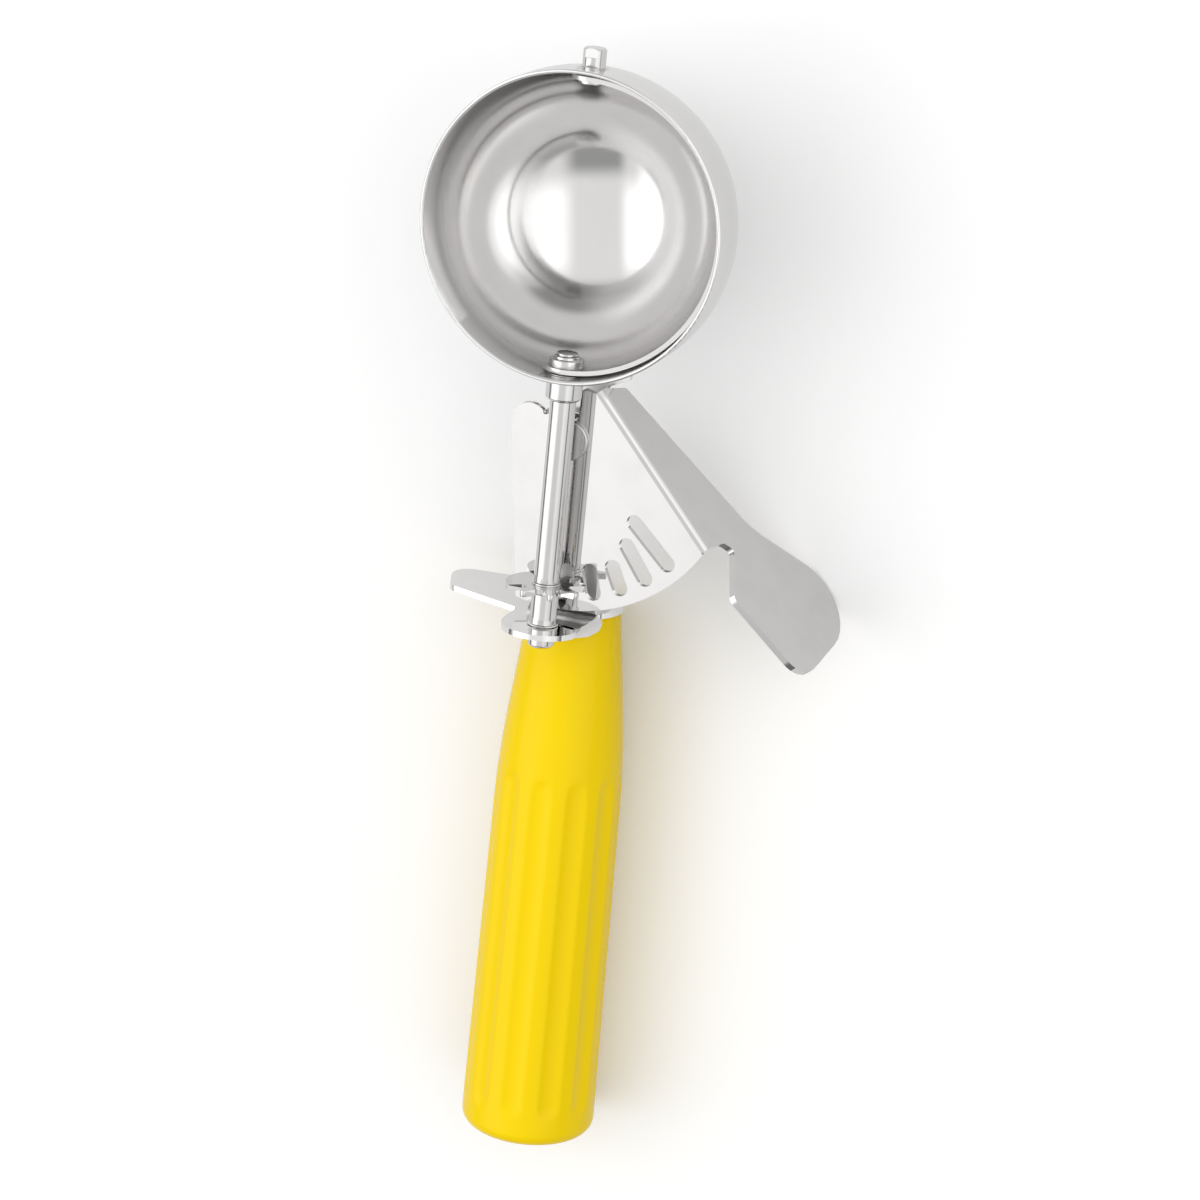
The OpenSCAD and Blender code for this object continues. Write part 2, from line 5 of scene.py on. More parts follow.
import bpy
import numpy as np
from bpy.props import FloatProperty, FloatVectorProperty, IntProperty, PointerProperty
from mathutils import Matrix, Vector


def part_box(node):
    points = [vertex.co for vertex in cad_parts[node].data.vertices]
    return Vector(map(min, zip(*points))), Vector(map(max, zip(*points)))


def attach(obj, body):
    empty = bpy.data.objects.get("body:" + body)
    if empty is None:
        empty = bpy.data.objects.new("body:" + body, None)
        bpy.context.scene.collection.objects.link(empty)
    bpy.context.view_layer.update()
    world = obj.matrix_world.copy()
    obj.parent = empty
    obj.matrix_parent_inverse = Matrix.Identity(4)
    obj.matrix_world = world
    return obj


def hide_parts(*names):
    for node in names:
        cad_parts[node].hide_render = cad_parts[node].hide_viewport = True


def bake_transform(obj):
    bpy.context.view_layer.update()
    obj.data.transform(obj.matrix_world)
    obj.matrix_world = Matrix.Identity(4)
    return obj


bl_info = {
    "name": "Lever Ice Cream Scoop",
    "version": (1, 0, 0),
    "blender": (4, 5, 0),
    "location": "View3D > Sidebar > Scoop",
    "description": "Finishes a lever ice cream scoop around its solid parts and sets up its studio",
    "category": "Add Mesh",
}

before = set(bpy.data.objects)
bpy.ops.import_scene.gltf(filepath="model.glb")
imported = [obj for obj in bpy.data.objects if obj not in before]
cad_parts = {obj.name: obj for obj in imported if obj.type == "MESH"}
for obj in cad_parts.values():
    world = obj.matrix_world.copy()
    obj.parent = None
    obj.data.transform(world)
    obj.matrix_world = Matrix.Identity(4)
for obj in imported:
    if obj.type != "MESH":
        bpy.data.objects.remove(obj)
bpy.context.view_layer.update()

MM = 0.001
WHITE = (1, 1, 1, 1)


# ---------------------------------------------------------------- what the solids give

def centre_of(node):
    """Middle of a solid's box."""
    low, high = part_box(node)
    return (low + high) / 2


HANDLE_LOW, HANDLE_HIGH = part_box("handle")
HANDLE_AXIS = centre_of("tang")
SHAFT_AXIS = centre_of("pinion_spacer")
PINION_Y = centre_of("pinion").y
BOWL_LOW, BOWL_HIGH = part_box("bowl")
PIVOT = centre_of("pivot_rivet")
SPRING_LOW, SPRING_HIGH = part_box("return_spring")


# ---------------------------------------------------------------- settings

class ScoopSteel(bpy.types.PropertyGroup):
    """Colours and polish of the steel pieces."""

    sheet_colour: FloatVectorProperty(
        name="Sheet", description="Colour of the polished sheet", subtype="COLOR", size=3,
        default=(0.672, 0.664, 0.658), min=0, max=1,
    )
    bowl_colour: FloatVectorProperty(
        name="Bowl", description="Colour of the spun bowl and its blade", subtype="COLOR", size=3,
        default=(0.80, 0.792, 0.786), min=0, max=1,
    )
    turned_colour: FloatVectorProperty(
        name="Turned parts", description="Colour of pins, rivets and sleeves",
        subtype="COLOR", size=3, default=(0.70, 0.694, 0.69), min=0, max=1,
    )
    frame_colour: FloatVectorProperty(
        name="Frame", description="Colour of the web and the finger plate", subtype="COLOR", size=3,
        default=(0.86, 0.852, 0.846), min=0, max=1,
    )
    wire_colour: FloatVectorProperty(
        name="Spring wire", description="Colour of the return spring", subtype="COLOR", size=3,
        default=(0.55, 0.54, 0.53), min=0, max=1,
    )
    sheet_roughness: FloatProperty(
        name="Sheet roughness", description="Roughness of the polished sheet",
        default=0.04, min=0, max=1, subtype="FACTOR",
    )
    bowl_roughness: FloatProperty(
        name="Bowl roughness", description="Roughness of the satin bowl",
        default=0.10, min=0, max=1, subtype="FACTOR",
    )
    turned_roughness: FloatProperty(
        name="Turned roughness", description="Roughness of pins, rivets and sleeves",
        default=0.12, min=0, max=1, subtype="FACTOR",
    )
    wire_roughness: FloatProperty(
        name="Wire roughness", description="Roughness of the return spring",
        default=0.22, min=0, max=1, subtype="FACTOR",
    )
    edge: FloatProperty(
        name="Edge rounding", description="Radius worn onto the edges of the steel pieces",
        default=0.15 * MM, min=0, max=MM, unit="LENGTH",
    )


class ScoopGrip(bpy.types.PropertyGroup):
    """Colour and moulding of the handle."""

    colour: FloatVectorProperty(
        name="Colour", description="Colour of the moulded handle", subtype="COLOR", size=3,
        default=(1.0, 0.71, 0.0), min=0, max=1,
    )
    roughness: FloatProperty(
        name="Roughness", description="Roughness of the moulded handle",
        default=0.24, min=0, max=1, subtype="FACTOR",
    )
    flutes: IntProperty(
        name="Flutes", description="Number of flutes round the handle", default=11, min=8, max=12,
    )
    flute_width: FloatProperty(
        name="Flute width", description="Width of a flute", default=3.6 * MM, min=2.6 * MM,
        max=4 * MM, unit="LENGTH",
    )
    flute_depth: FloatProperty(
        name="Flute depth", description="Depth of a flute", default=0.55 * MM, min=0.3 * MM,
        max=0.7 * MM, unit="LENGTH",
    )
    neck_length: FloatProperty(
        name="Neck length", description="Length of the tapered neck", default=28.8 * MM,
        min=22 * MM, max=36 * MM, unit="LENGTH",
    )
    neck_radius: FloatProperty(
        name="Neck radius", description="Radius at the finger plate", default=8.25 * MM,
        min=7.4 * MM, max=9 * MM, unit="LENGTH",
    )
    shoulder_radius: FloatProperty(
        name="Shoulder radius", description="Radius where the neck ends", default=11.4 * MM,
        min=10.4 * MM, max=12.2 * MM, unit="LENGTH",
    )


class ScoopStage(bpy.types.PropertyGroup):
    """Floor and camera."""

    floor_size: FloatProperty(
        name="Floor", description="Width of the floor", default=6, min=1, max=20, unit="LENGTH",
    )
    floor_colour: FloatVectorProperty(
        name="Floor colour", description="Colour of the light that the floor throws back",
        subtype="COLOR", size=3, default=(0.5, 0.5, 0.5), min=0, max=1,
    )
    camera_distance: FloatProperty(
        name="Camera distance", description="From the camera to the place it is aimed at",
        default=0.7007, min=0.3, max=3, unit="LENGTH",
    )


# ---------------------------------------------------------------- node expressions

# how fast a pattern changes across, along and up the scoop: its marks run where it changes slowly
EVEN = (1, 1, 1)
LENGTHWISE = (1, 0.05, 1)
CROSSWISE = (0.05, 1, 0.05)


class Socket:
    """A socket that turns Python's operators into Math nodes."""

    def __init__(self, tree, socket):
        self.tree, self.socket = tree, socket

    def math(self, operation, *values):
        """A Math node on this value and the others that the operation takes."""
        return self.tree.node("ShaderNodeMath", {"operation": operation}, [self, *values])

    def math_after(self, operation, first):
        """A Math node on another value and this one, which comes second."""
        return self.tree.node("ShaderNodeMath", {"operation": operation}, [first, self])

    def __add__(self, other):
        return self.math("ADD", other)

    def __radd__(self, other):
        return self.math_after("ADD", other)

    def __sub__(self, other):
        return self.math("SUBTRACT", other)

    def __rsub__(self, other):
        return self.math_after("SUBTRACT", other)

    def __mul__(self, other):
        return self.math("MULTIPLY", other)

    def __rmul__(self, other):
        return self.math_after("MULTIPLY", other)

    def __truediv__(self, other):
        return self.math("DIVIDE", other)

    def __rtruediv__(self, other):
        return self.math_after("DIVIDE", other)

    def clamped(self):
        """This value, held between 0 and 1."""
        return self.tree.node("ShaderNodeClamp", {}, [self])


class Tree:
    """Builds the nodes of one material or world."""

    def __init__(self, owner):
        owner.use_nodes = True
        self.nodes, self.links = owner.node_tree.nodes, owner.node_tree.links
        self.nodes.clear()

    def node(self, kind, settings=None, inputs=None, output=0):
        """Adds a node, sets it up and then gives its sockets their values or links."""
        made = self.nodes.new(kind)
        for name, value in (settings or {}).items():
            if name == "stops":
                self.set_stops(made.color_ramp, value)
            else:
                setattr(made, name, value)
        pairs = inputs.items() if isinstance(inputs, dict) else enumerate(inputs or [])
        for key, value in pairs:
            if isinstance(value, Socket):
                self.links.new(value.socket, made.inputs[key])
            else:
                made.inputs[key].default_value = value
        return Socket(self, made.outputs[output])

    @staticmethod
    def set_stops(ramp, stops):
        """Puts a ramp's stops at their places, each with its grey."""
        while len(ramp.elements) < len(stops):
            ramp.elements.new(0.5)
        for element, (place, value) in zip(ramp.elements, stops):
            element.position = place
            element.color = (value, value, value, 1)

    def place(self):
        """Where a point lies on its own piece."""
        return self.node("ShaderNodeTexCoord", output="Object")

    def ray(self, kind):
        """1 for rays of one kind, such as Camera or Glossy, and 0 for all others."""
        return self.node("ShaderNodeLightPath", output=f"Is {kind} Ray")

    def noise(self, scale, stretch=EVEN, detail=3.0):
        """Soft pattern, which changes slowly along an axis where stretch is small."""
        place = self.node("ShaderNodeMapping", {}, {"Vector": self.place(), "Scale": stretch})
        inputs = {"Vector": place, "Scale": scale, "Detail": detail}
        return self.node("ShaderNodeTexNoise", {}, inputs)

    def ramp(self, value, none, full):
        """0 up to where the value is at none, 1 from full on, and straight between."""
        return self.node("ShaderNodeValToRGB", {"stops": [(none, 0.0), (full, 1.0)]}, [value])

    def fade(self, value, none, full):
        """0 where the value is at none, 1 where it is at full, and soft between."""
        return self.node(
            "ShaderNodeMapRange", {"interpolation_type": "SMOOTHSTEP"},
            {"Value": value, "From Min": none, "From Max": full},
        )

    def along(self, vector, axis):
        """How far a vector points along an axis."""
        return self.node(
            "ShaderNodeVectorMath", {"operation": "DOT_PRODUCT"}, [vector, tuple(axis)],
            output="Value",
        )

    def darkened(self, colour, share, factor):
        """A colour that goes down to a share of itself as the factor goes up to 1."""
        factor_in, colour_in, dark_in, colour_out = 0, 6, 7, 2
        dark = [part * share for part in colour]
        return self.node(
            "ShaderNodeMix", {"data_type": "RGBA"},
            {factor_in: factor, colour_in: (*colour, 1), dark_in: (*dark, 1)}, output=colour_out,
        )

    def bump(self, height, strength, distance):
        """The surface's direction, tilted as if a pattern stood out of it."""
        inputs = {"Height": height, "Strength": strength, "Distance": distance}
        return self.node("ShaderNodeBump", {}, inputs, output="Normal")

    def principled(self, **inputs):
        """A surface, whose sockets are given with a line for each space in their names."""
        named = {key.replace("_", " "): value for key, value in inputs.items()}
        return self.node("ShaderNodeBsdfPrincipled", {}, named, output="BSDF")

    def either(self, factor, first, second):
        """The first shader where the factor is 0, and the second where it is 1."""
        return self.node("ShaderNodeMixShader", {}, [factor, first, second])

    def finish(self, shader, kind="ShaderNodeOutputMaterial"):
        """Makes a shader the tree's result."""
        self.links.new(shader.socket, self.nodes.new(kind).inputs["Surface"])


def material(name, build, *settings):
    """A new material, whose nodes are made by build from its settings."""
    made = bpy.data.materials.new(name)
    build(Tree(made), *settings)
    return made


# ---------------------------------------------------------------- finishes
#
# A finish keeps to the roughness that it is given where its patterns are at their usual level. Each
# pattern adds a share of its own, and usual is what they add together on average.

def polished_steel(tree, colour, roughness, grain, stretch=EVEN):
    """Bright steel with faint polishing lines and a few dull marks."""
    line_rough, mark_rough, usual = 0.03, 0.02, 0.02
    lines = tree.noise(grain, stretch, detail=2.0)
    dull = tree.ramp(tree.noise(180.0, detail=4.0), 0.45, 0.7)
    tree.finish(tree.principled(
        Base_Color=tree.darkened(colour, 0.93, dull * 0.5),
        Metallic=1.0,
        Roughness=lines * line_rough + dull * mark_rough + (roughness - usual),
        Normal=tree.bump(lines, strength=0.03, distance=0.02 * MM),
    ))


def rolled_steel(tree, colour):
    """Sheet left as it came from the rolls, with marks along the scoop."""
    mark_rough, smoothest = 0.12, 0.24
    marks = tree.noise(700.0, stretch=(1, 0.04, 1))
    tree.finish(tree.principled(
        Base_Color=tree.darkened(colour, 0.86, marks * 0.4),
        Metallic=0.75,
        Roughness=marks * mark_rough + smoothest,
        Normal=tree.bump(marks, strength=0.1, distance=0.02 * MM),
    ))


def spun_steel(tree, colour, roughness):
    """Satin steel with fine rings round the bowl's own axis, and a duller band inside its mouth."""
    ring_rough, mark_rough, brush_rough, usual = 0.05, 0.03, 0.12, 0.03
    brush_loss = 0.32
    half_wall, soft = 0.35 * MM, 0.1 * MM
    bright_up_to, brushed_from = BOWL_HIGH.z - 17 * MM, BOWL_HIGH.z - 7 * MM
    mid_wall = (BOWL_HIGH.x - BOWL_LOW.x) / 2 - half_wall
    place = tree.place()
    across, along, height = (
        tree.node("ShaderNodeSeparateXYZ", {}, [place], output=axis) for axis in "XYZ")
    along = along - centre_of("bowl").y
    depth = (height - SHAFT_AXIS.z).math("MINIMUM", 0.0)
    reach = (across * across + along * along + depth * depth).math("SQRT")
    inside = tree.fade(reach, mid_wall + soft, mid_wall - soft)
    brushed = inside * tree.fade(height, bright_up_to, brushed_from)
    rings = tree.node(
        "ShaderNodeTexNoise", {"noise_dimensions": "1D"},
        {"W": height, "Scale": 2600.0, "Detail": 3.0},
    )
    dull = tree.ramp(tree.noise(90.0, detail=4.0), 0.4, 0.75)
    tree.finish(tree.principled(
        Base_Color=tree.darkened(colour, 0.92, dull * 0.5),
        Metallic=1 - brushed * brush_loss,
        Roughness=(
            rings * ring_rough + dull * mark_rough + brushed * brush_rough + (roughness - usual)),
        Normal=tree.bump(rings, strength=0.05, distance=0.01 * MM),
    ))


def moulded_plastic(tree, colour, roughness):
    """Plastic with a faint orange-peel skin and a little dust in its gloss."""
    worn_rough, skin_rough, usual = 0.06, 0.04, 0.03
    skin = tree.noise(260.0, stretch=(1, 0.4, 1), detail=2.0)
    worn = tree.ramp(tree.noise(45.0, stretch=(1, 0.3, 1)), 0.35, 0.8)
    tree.finish(tree.principled(
        Base_Color=tree.darkened(colour, 0.94, worn * 0.35),
        Roughness=worn * worn_rough + skin * skin_rough + (roughness - usual),
        Specular_IOR_Level=0.12,
        Coat_Weight=0.05,
        Coat_Roughness=0.12,
        Normal=tree.bump(skin, strength=0.06, distance=0.05 * MM),
    ))


def matt_floor(tree, colour):
    """Floor that lights the scoop in its own colour, and looks nearly white, in steel too."""
    def matt(base, glow):
        return tree.principled(
            Base_Color=(*base, 1), Roughness=1.0, Specular_IOR_Level=0.0,
            Emission_Color=WHITE, Emission_Strength=glow,
        )

    thrown_back = matt(colour, glow=0.0)
    looked_at = matt((1, 1, 1), glow=0.05)
    mirrored = matt((0.45, 0.45, 0.45), glow=0.38)
    looks = (tree.ray("Camera") + tree.ray("Transmission")).clamped()
    tree.finish(tree.either(
        tree.ray("Glossy"), tree.either(looks, thrown_back, looked_at), mirrored))


def recipes():
    """What makes each finish: its function, and the settings that the function takes."""
    steel, grip = bpy.context.scene.scoop_steel, bpy.context.scene.scoop_grip
    bright, satin = steel.sheet_roughness, steel.turned_roughness
    sheet_grain, turned_grain, wire_grain = 900.0, 1500.0, 1200.0
    return {
        "lever_sheet": (polished_steel, steel.sheet_colour, bright, sheet_grain, LENGTHWISE),
        "frame_bright": (polished_steel, steel.frame_colour, bright, sheet_grain, CROSSWISE),
        "frame_satin": (rolled_steel, steel.frame_colour),
        "spun_bowl": (spun_steel, steel.bowl_colour, steel.bowl_roughness),
        "turned_bright": (polished_steel, steel.sheet_colour, bright, turned_grain, CROSSWISE),
        "turned_satin": (polished_steel, steel.turned_colour, satin, turned_grain, CROSSWISE),
        "spring_wire": (polished_steel, steel.wire_colour, steel.wire_roughness, wire_grain),
        "moulded_grip": (moulded_plastic, grip.colour, grip.roughness),
    }


def coat(obj, finish):
    """Gives an object its finish, which is made when it is first asked for."""
    if finish not in bpy.data.materials:
        material(finish, *recipes()[finish])
    obj.data.materials.clear()
    obj.data.materials.append(bpy.data.materials[finish])


def modify(obj, name, kind, **settings):
    """Adds a modifier and sets it up."""
    made = obj.modifiers.new(name, kind)
    for setting, value in settings.items():
        setattr(made, setting, value)


def dress(node, finish, edge=0):
    """Gives a solid its finish, and worn edges where edge isn't 0."""
    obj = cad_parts[node]
    coat(obj, finish)
    modify(obj, "weld", "WELD", merge_threshold=0.001 * MM)
    if edge:
        modify(obj, "flats", "DECIMATE", decimate_type="DISSOLVE", angle_limit=math.radians(0.5))
        modify(
            obj, "worn edge", "BEVEL", width=edge, segments=2, limit_method="ANGLE",
            angle_limit=math.radians(35), use_clamp_overlap=True,
        )
        modify(obj, "even shade", "WEIGHTED_NORMAL", weight=90, use_face_influence=True)


# ---------------------------------------------------------------- meshes

def mesh_object(name, points, faces, finish, body):
    """A smooth object with its finish, which moves with a body if one is named."""
    data = bpy.data.meshes.new(name)
    data.from_pydata([tuple(p) for p in points], [], faces)
    data.polygons.foreach_set("use_smooth", [True] * len(data.polygons))
    data.update()
    obj = bpy.data.objects.new(name, data)
    bpy.context.scene.collection.objects.link(obj)
    coat(obj, finish)
    if body:
        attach(obj, body)
    return obj


def closed_skin(rows, around):
    """Faces over rows of points that close round, and then a cap on the first and the last row.

    They look outward where the points go round as the fingers of a right hand curl, with its thumb
    towards the last row.
    """
    faces = []
    for row in range(rows - 1):
        here, beyond = row * around, (row + 1) * around
        for k in range(around):
            after = (k + 1) % around
            faces.append((here + k, here + after, beyond + after, beyond + k))
    first_cap = tuple(range(around - 1, -1, -1))
    last_cap = tuple(range((rows - 1) * around, rows * around))
    return [*faces, first_cap, last_cap]


def turned_over(faces):
    """The same faces, looking the other way."""
    return [(face[0], *face[:0:-1]) for face in faces]


def tube(path, radius, sides=10):
    """Points and faces of a round wire along a path of points."""
    nearly_upright = 0.2
    path = [Vector(p) for p in path]
    points = []
    for i, at in enumerate(path):
        run = (path[min(i + 1, len(path) - 1)] - path[max(i - 1, 0)]).normalized()
        across = run.cross(Vector((0, 0, 1)))
        if across.length < nearly_upright:
            across = run.cross(Vector((1, 0, 0)))
        across.normalize()
        other = run.cross(across)
        for k in range(sides):
            turn = math.tau * k / sides
            points.append(at + radius * (across * math.cos(turn) + other * math.sin(turn)))
    return points, closed_skin(len(path), sides)


def smooth_min(a, b, blend):
    """Smaller of two arrays, with the corner between them rounded over blend."""
    h = np.clip(0.5 + 0.5 * (b - a) / blend, 0, 1)
    return b + (a - b) * h - blend * h * (1 - h)


# ---------------------------------------------------------------- handle

HANDLE_LENGTH = HANDLE_HIGH.y - HANDLE_LOW.y
# the flutes take this much off the sides of the solid's box
BUTT_RADIUS = HANDLE_HIGH.x + 0.03 * MM
BUTT_ROUND = 2.6 * MM
TOP_ROUND, TOP_ROUND_LENGTH = 0.4 * MM, 0.45 * MM
NECK_BLEND, FLUTE_BLEND = 0.9 * MM, 0.16 * MM
NECK_TO_FLUTES, FLUTES_TO_BUTT = 3 * MM, 8 * MM
FLUTE_PHASE = math.radians(3)


def handle_rows():
    """How far each row of points is from the finger plate, closer together where it rounds off."""
    middle_rows, butt_rows = 150, 12
    middle_start, first_turn = 0.8 * MM, 0.12
    top = [0.0, 0.1 * MM, 0.25 * MM, TOP_ROUND_LENGTH]
    middle = np.linspace(middle_start, HANDLE_LENGTH - BUTT_ROUND, middle_rows)
    turn = np.linspace(first_turn, math.pi / 2, butt_rows)
    return np.concatenate([top, middle, HANDLE_LENGTH - BUTT_ROUND * (1 - np.sin(turn))])


def grip_radius(grip, along):
    """Radius of the slow taper from the shoulder to the butt."""
    taper = (BUTT_RADIUS - grip.shoulder_radius) / (HANDLE_LENGTH - grip.neck_length)
    return grip.shoulder_radius + taper * (along - grip.neck_length)


def plain_radius(grip, along):
    """Radius of the whole handle before it is fluted."""
    widening = (grip.shoulder_radius - grip.neck_radius) * along / grip.neck_length
    radius = smooth_min(grip.neck_radius + widening, grip_radius(grip, along), NECK_BLEND)
    into_top = np.clip(along / TOP_ROUND_LENGTH, 0, 1)
    into_butt = np.clip((along - (HANDLE_LENGTH - BUTT_ROUND)) / BUTT_ROUND, 0, 1)
    radius = radius - TOP_ROUND * (1 - np.sqrt(into_top))
    return radius - BUTT_ROUND * (1 - np.sqrt(1 - into_butt ** 2))


def fluted_radius(grip, along, turn):
    """Radius at each row and turn, with round-ended flutes cut in by a thin round bar."""
    plain = np.repeat(plain_radius(grip, along)[:, None], len(turn), axis=1)
    # a bar of this radius, sunk by the flute's depth, cuts the flute's width out of the butt
    bar = 1 / (8 * grip.flute_depth / grip.flute_width ** 2 - 1 / BUTT_RADIUS)
    bar_axis = grip_radius(grip, along) + bar - grip.flute_depth
    start, stop = grip.neck_length + NECK_TO_FLUTES, HANDLE_LENGTH - FLUTES_TO_BUTT
    past_end = np.maximum(start - along, 0) + np.maximum(along - stop, 0)
    pitch = math.tau / grip.flutes
    off = (turn - FLUTE_PHASE + pitch / 2) % pitch - pitch / 2
    reach = bar ** 2 - (plain * np.sin(off)) ** 2 - past_end[:, None] ** 2
    groove = bar_axis[:, None] - np.sqrt(np.maximum(reach, 0))
    well_clear = plain + 2 * MM
    return smooth_min(plain, np.where(reach > 0, groove, well_clear), FLUTE_BLEND)


# ---------------------------------------------------------------- pieces

class SCOOP_OT_bowl(bpy.types.Operator):
    """Finishes the bowl, its bearing tube and the sweeping blade"""

    bl_idname = "scoop.bowl"
    bl_label = "Bowl and Blade"

    def execute(self, context):
        edge = context.scene.scoop_steel.edge
        dress("bowl", "spun_bowl")
        dress("blade", "spun_bowl", edge)
        for node in ("bowl_ferrule", "blade_hub", "blade_pin"):
            dress(node, "turned_satin", edge)
        return {"FINISHED"}


class SCOOP_OT_drive(bpy.types.Operator):
    """Finishes the shaft, its collar, the pinion and the spacer"""

    bl_idname = "scoop.drive"
    bl_label = "Shaft and Pinion"

    def execute(self, context):
        edge = context.scene.scoop_steel.edge
        for node in ("shaft", "pinion", "pinion_spacer"):
            dress(node, "turned_bright", edge)
        dress("shaft_collar", "turned_satin", edge / 2)
        return {"FINISHED"}


class SCOOP_OT_lever(bpy.types.Operator):
    """Finishes the thumb lever and its pivot"""

    bl_idname = "scoop.lever"
    bl_label = "Thumb Lever"

    def execute(self, context):
        edge = context.scene.scoop_steel.edge
        dress("thumb_lever", "lever_sheet", edge)
        for node in ("pivot_rivet", "pivot_bush", "pivot_washer"):
            dress(node, "turned_satin", edge)
        return {"FINISHED"}


class SCOOP_OT_spring(bpy.types.Operator):
    """Winds the return spring between the frame and the lever"""

    bl_idname = "scoop.spring"
    bl_label = "Return Spring"

    def execute(self, context):
        wire = 0.4 * MM  # its radius
        bend, clearance = 1.2 * wire, 1.3 * wire
        turns, steps = 2, 48
        leg_points, arm_points = 4, 6
        radius = (SPRING_HIGH.x - SPRING_LOW.x) / 2 - wire
        web_front, lever_back = (corner.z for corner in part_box("pivot_bush"))
        start_z, end_z = lever_back - clearance, web_front + clearance
        leg, foot = SPRING_HIGH.y - wire, SPRING_LOW.y + wire
        path = [(-radius, leg, SPRING_HIGH.z)]
        path += [(-radius, leg, z)
                 for z in np.linspace(SPRING_HIGH.z - wire, start_z + wire, leg_points)]
        path += [(-radius, y, start_z) for y in np.linspace(leg - bend, PIVOT.y, arm_points)]
        for i in range(1, turns * steps):
            turn = math.pi + math.tau * i / steps
            share = i / (turns * steps)
            path.append((
                radius * math.cos(turn),
                PIVOT.y + radius * math.sin(turn),
                start_z + (end_z - start_z) * share,
            ))
        path += [(-radius, y, end_z) for y in np.linspace(PIVOT.y, foot + bend, arm_points)]
        path += [(-radius, foot, z) for z in np.linspace(end_z - wire, SPRING_LOW.z, leg_points)]
        points, faces = tube(path, wire)
        obj = mesh_object("return_coil", points, faces, "spring_wire", None)
        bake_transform(obj)
        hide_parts("return_spring")
        return {"FINISHED"}


class SCOOP_OT_frame(bpy.types.Operator):
    """Finishes the web, the finger plate and the tang"""

    bl_idname = "scoop.frame"
    bl_label = "Frame"

    def execute(self, context):
        edge = context.scene.scoop_steel.edge
        dress("frame_web", "frame_satin", edge)
        dress("finger_plate", "frame_bright", edge)
        dress("tang", "turned_satin", edge)
        return {"FINISHED"}


class SCOOP_OT_grip(bpy.types.Operator):
    """Moulds the fluted handle around its solid"""

    bl_idname = "scoop.grip"
    bl_label = "Handle"

    def execute(self, context):
        grip = context.scene.scoop_grip
        points_per_flute = 26
        around = grip.flutes * points_per_flute
        turn = math.tau * np.arange(around) / around
        along = handle_rows()
        radius = fluted_radius(grip, along, turn)
        points = np.stack([
            HANDLE_AXIS.x + radius * np.sin(turn),
            np.repeat(HANDLE_HIGH.y - along[:, None], around, axis=1),
            HANDLE_AXIS.z + radius * np.cos(turn),
        ], axis=-1).reshape(-1, 3)
        # the points go round the other way than the wire's, so the faces are turned to look outward
        faces = turned_over(closed_skin(len(along), around))
        obj = mesh_object("moulded_handle", points, faces, "moulded_grip", "frame")
        for cap in obj.data.polygons[-2:]:
            cap.use_smooth = False
        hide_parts("handle")
        return {"FINISHED"}


# ---------------------------------------------------------------- stage

def camera_axes():
    """Right, up and back of a camera that looks at the mouth from the thumb's side."""
    side, rise, roll = math.radians(18.7), math.radians(16.12), math.radians(5.28)
    back = Vector((
        math.sin(side) * math.cos(rise), math.sin(rise), math.cos(side) * math.cos(rise),
    ))
    level_right = (-back).cross(Vector((0, 1, 0))).normalized()
    level_up = level_right.cross(-back)
    right = level_right * math.cos(roll) + level_up * math.sin(roll)
    up = level_up * math.cos(roll) - level_right * math.sin(roll)
    return right, up, back


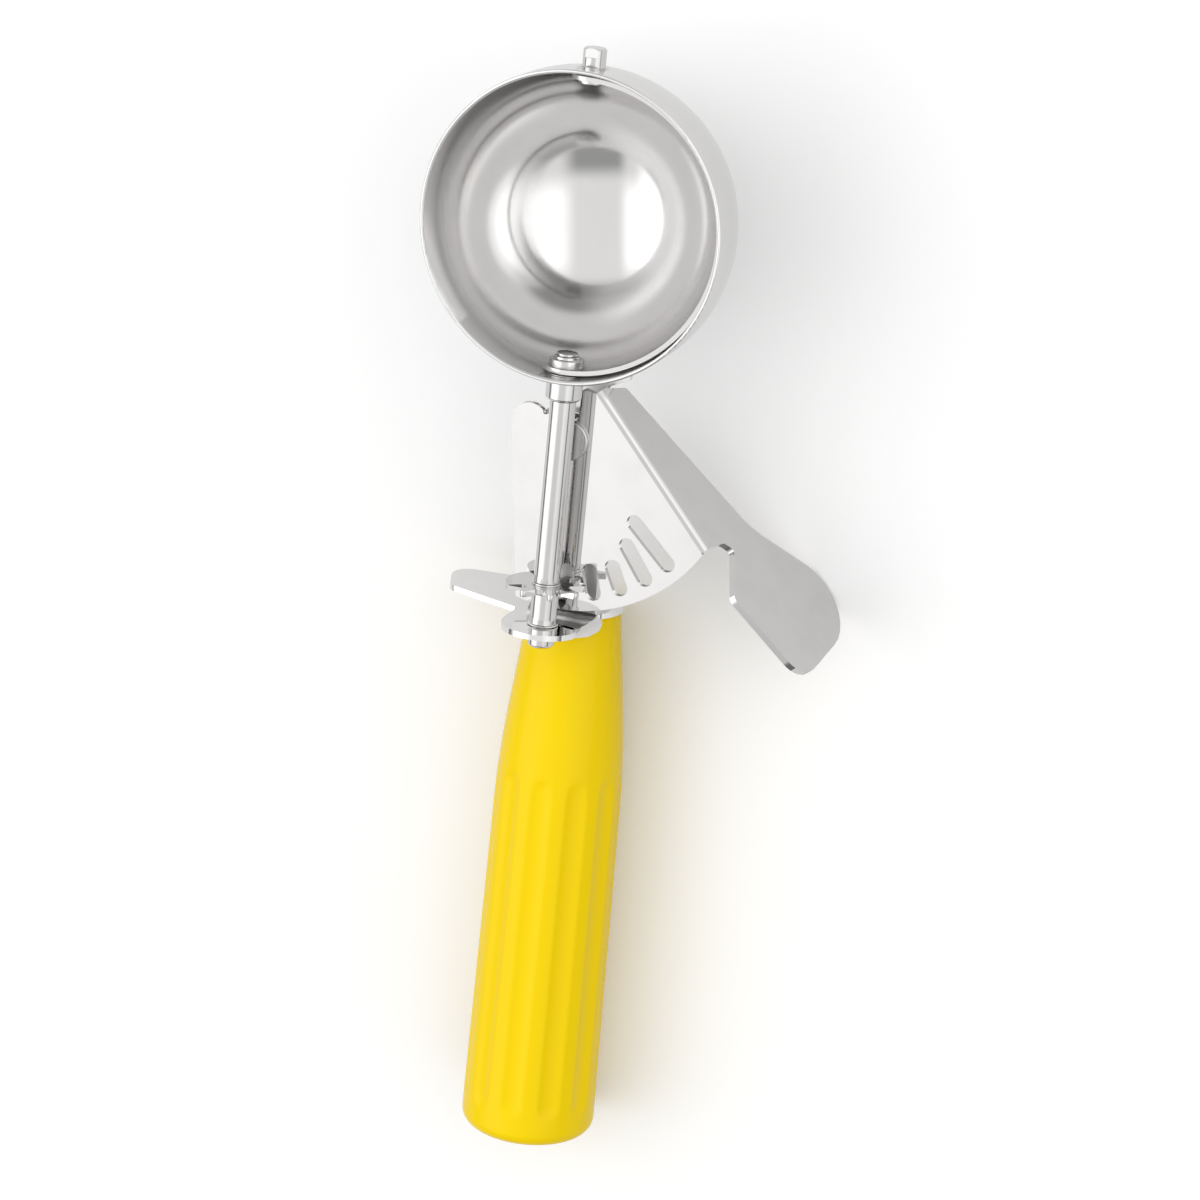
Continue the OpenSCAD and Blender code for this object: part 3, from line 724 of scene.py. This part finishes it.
class SCOOP_OT_stage(bpy.types.Operator):
    """Sets the floor, the light of the room and the camera"""

    bl_idname = "scoop.stage"
    bl_label = "Studio"

    def execute(self, context):
        scene = context.scene
        aim_past_pinion = 9.75 * MM
        aim = Vector((0, PINION_Y + aim_past_pinion, SHAFT_AXIS.z))
        right, up, back = camera_axes()
        self.make_floor(scene)
        self.make_world(scene, right, up, back)
        self.make_camera(scene, aim, right, up, back)
        scene.view_settings.view_transform = "Standard"
        return {"FINISHED"}

    @staticmethod
    def make_floor(scene):
        """One wide square that the scoop lies on."""
        stage = scene.scoop_stage
        half = stage.floor_size / 2
        corners = [(-half, -half, 0), (half, -half, 0), (half, half, 0), (-half, half, 0)]
        data = bpy.data.meshes.new("floor")
        data.from_pydata(corners, [], [(0, 1, 2, 3)])
        obj = bpy.data.objects.new("floor", data)
        scene.collection.objects.link(obj)
        data.materials.append(material("floor_white", matt_floor, stage.floor_colour))

    @staticmethod
    def make_world(scene, right, up, back):
        """Two tall light boxes with a pale panel between them, in a dim room.

        Places in the room are given as they lie in a mirror ball that faces the camera's side:
        across and height run from -1 to 1, and 0.5 off the middle is 60 degrees off the axis.
        """
        box_light, box_low_light, left_light, right_loss = 0.87, 0.55, 0.5, 0.12
        panel_light, panel_low_light = 0.36, 0.52
        dim, room_middle = 0.2, -0.1
        world = bpy.data.worlds.new("studio")
        scene.world = world
        tree = Tree(world)
        way = tree.node("ShaderNodeTexCoord", output="Generated")
        rightward, upward, outward = (tree.along(way, axis) for axis in (right, up, back))
        stretch = (outward * 2 + 2).math("SQRT")
        across = rightward / stretch
        height = (upward / stretch).math("ABSOLUTE")
        aside = across - room_middle
        off_middle = (aside * aside + height * height).math("SQRT")
        inside = tree.fade(off_middle, 0.68, 0.54)
        panel = tree.fade(across, 0.15, 0.0) * tree.fade(across, -0.345, -0.25)
        box_low, panel_low = tree.fade(height, 0.40, 0.18), tree.fade(height, 0.44, 0.30)
        leftmost, rightmost = tree.fade(across, -0.36, -0.46), tree.fade(across, 0.2, 0.3)
        beside = (
            box_low * box_low_light + leftmost * left_light - rightmost * right_loss + box_light)
        between = panel_low * panel_low_light + panel_light
        level = inside * (beside * (1 - panel) + between * panel - dim) + dim
        room = tree.node("ShaderNodeBackground", {}, {"Color": WHITE, "Strength": level})
        white = tree.node("ShaderNodeBackground", {}, {"Color": WHITE, "Strength": 1.0})
        # the room itself looks white, and so does its lowest part in steel, as the floor does
        skyline = tree.fade(tree.along(way, (0, 0, 1)), 0.12, 0.02)
        shown = (
            tree.ray("Camera") + tree.ray("Transmission") + tree.ray("Glossy") * skyline).clamped()
        tree.finish(tree.either(shown, room, white), "ShaderNodeOutputWorld")

    @staticmethod
    def make_camera(scene, aim, right, up, back):
        """A long lens, in whose picture the aim falls at across and down, in pixels."""
        pixels, focal = 1200, 4030.87
        across, down = 550.89, 533.16
        data = bpy.data.cameras.new("camera")
        data.sensor_fit, data.sensor_width = "HORIZONTAL", 36
        data.lens = focal / pixels * data.sensor_width
        data.clip_start, data.clip_end = 0.01, 50
        obj = bpy.data.objects.new("camera", data)
        scene.collection.objects.link(obj)
        seen_at = Vector((across - pixels / 2, pixels / 2 - down, -focal)).normalized()
        turn = seen_at.rotation_difference(Vector((0, 0, -1))).to_matrix()
        basis = Matrix((right, up, back)).transposed()
        obj.rotation_mode = "QUATERNION"
        obj.rotation_quaternion = (basis @ turn).to_quaternion()
        obj.location = aim + back * scene.scoop_stage.camera_distance
        scene.camera = obj


OPERATORS = (
    SCOOP_OT_bowl, SCOOP_OT_drive, SCOOP_OT_lever, SCOOP_OT_spring, SCOOP_OT_frame, SCOOP_OT_grip,
    SCOOP_OT_stage,
)


class SCOOP_PT_panel(bpy.types.Panel):
    """Lists the scoop's pieces"""

    bl_idname = "SCOOP_PT_panel"
    bl_label = "Lever Ice Cream Scoop"
    bl_space_type = "VIEW_3D"
    bl_region_type = "UI"
    bl_category = "Scoop"

    def draw(self, context):
        for group in GROUPS:
            box = self.layout.box()
            settings = getattr(context.scene, group)
            for name in settings.__annotations__:
                box.prop(settings, name)
        for operator in OPERATORS:
            self.layout.operator(operator.bl_idname)


GROUPS = {"scoop_steel": ScoopSteel, "scoop_grip": ScoopGrip, "scoop_stage": ScoopStage}
CLASSES = (*GROUPS.values(), *OPERATORS, SCOOP_PT_panel)


def register():
    for made in CLASSES:
        bpy.utils.register_class(made)
    for name, group in GROUPS.items():
        setattr(bpy.types.Scene, name, PointerProperty(type=group))


def unregister():
    for name in GROUPS:
        delattr(bpy.types.Scene, name)
    for made in reversed(CLASSES):
        bpy.utils.unregister_class(made)


def main():
    register()
    for operator in OPERATORS:
        group, name = operator.bl_idname.split(".")
        getattr(getattr(bpy.ops, group), name)()


if __name__ == "__main__":
    main()
